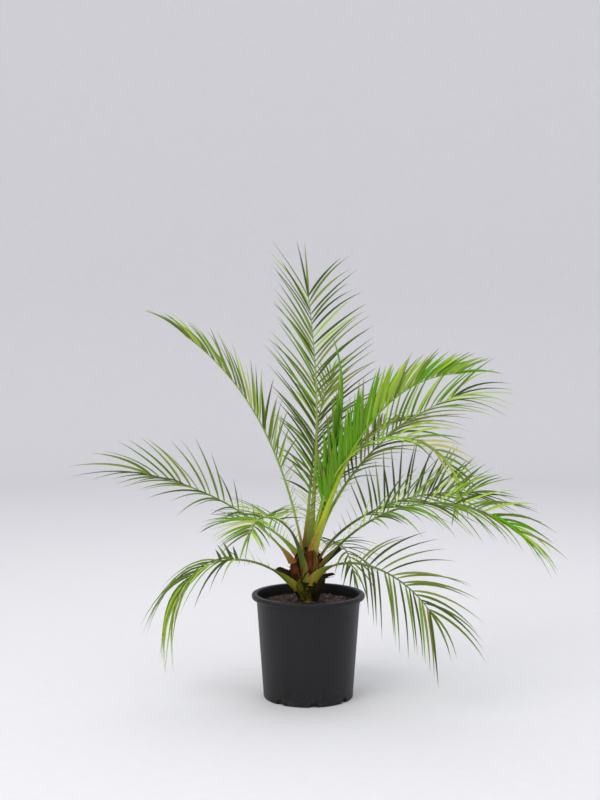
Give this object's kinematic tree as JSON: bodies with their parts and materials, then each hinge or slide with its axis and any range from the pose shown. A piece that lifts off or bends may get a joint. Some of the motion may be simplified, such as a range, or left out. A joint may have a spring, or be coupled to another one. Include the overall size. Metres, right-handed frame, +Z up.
{
  "type": "potted date palm",
  "caption": "Young date palm in a round plastic nursery pot: short trunk with old leaf bases and a full crown of arching feather fronds.",
  "frame": {"origin": "centre of the flat underside of the pot, on the surface it stands on", "axes": "+Z up along the trunk, +X to the right and +Y away from a viewer who faces the side with the two low fronds"},
  "size_m": [0.8317, 0.5492, 0.8351],
  "materials": {
    "pot": "black polypropylene with a soft sheen",
    "potting_mix": "moist composted bark",
    "trunk": "matted brown fibre",
    "old_leaf_base": "dry cut leaf stalk",
    "frond": "satin green leaf",
    "young_frond": "bright young leaf"
  },
  "bodies": {
    "root": {"frond_back_right": "frond", "frond_bowed_right_inner": "frond", "frond_bowed_right_outer": "frond", "frond_bright_right": "young_frond", "frond_high_back": "frond", "frond_high_left": "frond", "frond_high_right": "frond", "frond_low_back_inner": "frond", "frond_low_back_outer": "frond", "frond_low_left_inner": "frond", "frond_low_left_outer": "frond", "frond_low_right_inner": "frond", "frond_low_right_outer": "frond", "frond_mid_back": "frond", "frond_mid_left": "frond", "frond_mid_right": "frond", "frond_near_left_inner": "frond", "frond_near_left_outer": "frond", "frond_near_right": "frond", "frond_spear": "young_frond", "frond_tall_back": "frond", "pot": "pot", "potting_mix": "potting_mix", "stub_back": "old_leaf_base", "stub_back_left": "old_leaf_base", "stub_front": "old_leaf_base", "stub_left": "old_leaf_base", "stub_right_lower": "old_leaf_base", "stub_right_upper": "old_leaf_base", "trunk": "trunk"}
  },
  "joints": []
}
